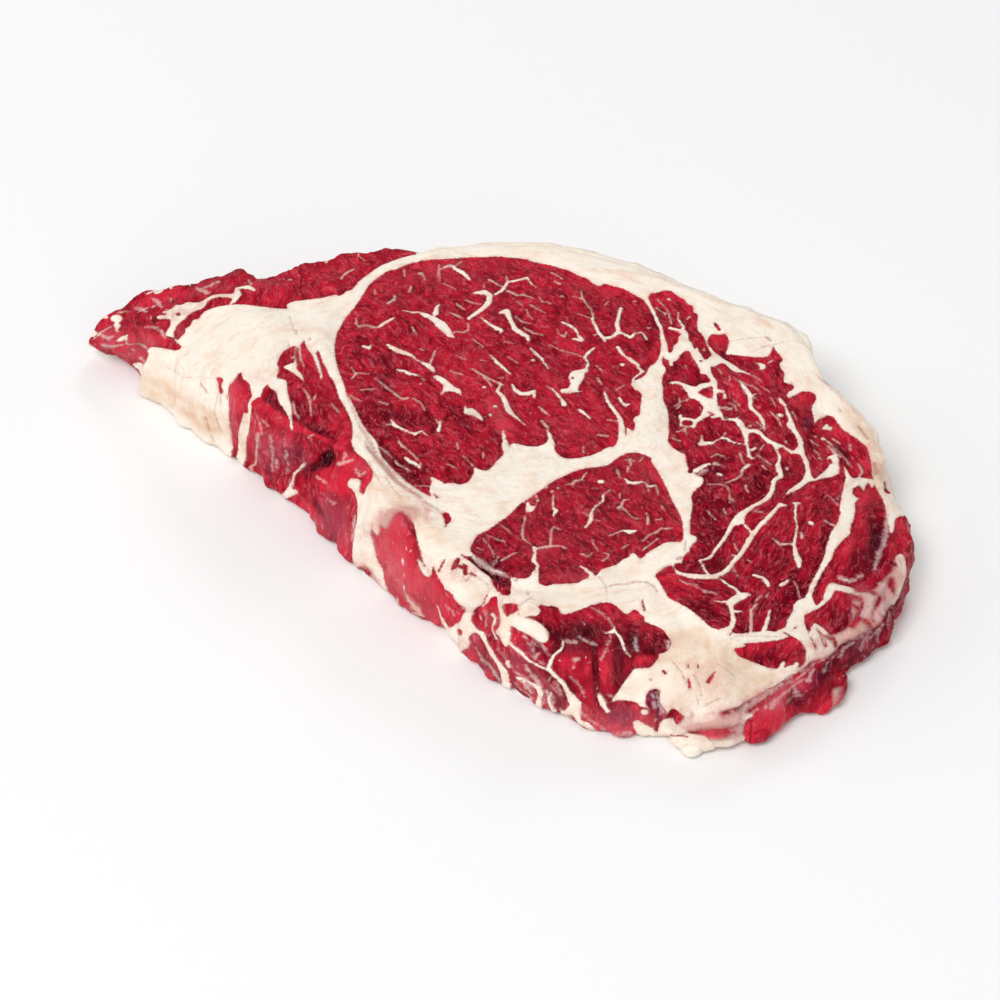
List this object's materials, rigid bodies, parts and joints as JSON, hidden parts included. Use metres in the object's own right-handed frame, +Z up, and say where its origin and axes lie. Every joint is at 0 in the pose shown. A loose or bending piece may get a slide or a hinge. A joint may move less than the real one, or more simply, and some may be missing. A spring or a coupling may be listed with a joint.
{
  "type": "raw ribeye steak",
  "caption": "Raw boneless ribeye steak lying flat: marbled eye muscle, rounded cap end, fat cap along one edge and a thin drooping tail with a fat pad",
  "frame": {"origin": "middle of the bottom of the bounding box, on the surface that the steak lies on", "axes": "+Z up through the cut face; +X from the thin tail to the thick cap end, the longest way; +Y towards the fat cap"},
  "size_m": [0.2364, 0.1764, 0.0305],
  "materials": {
    "meat": "moist cut beef: deep crimson grained lean with fine wet highlights, parted by matt cream fat seams and marbling"
  },
  "bodies": {
    "root": {"steak": "meat"}
  },
  "joints": []
}
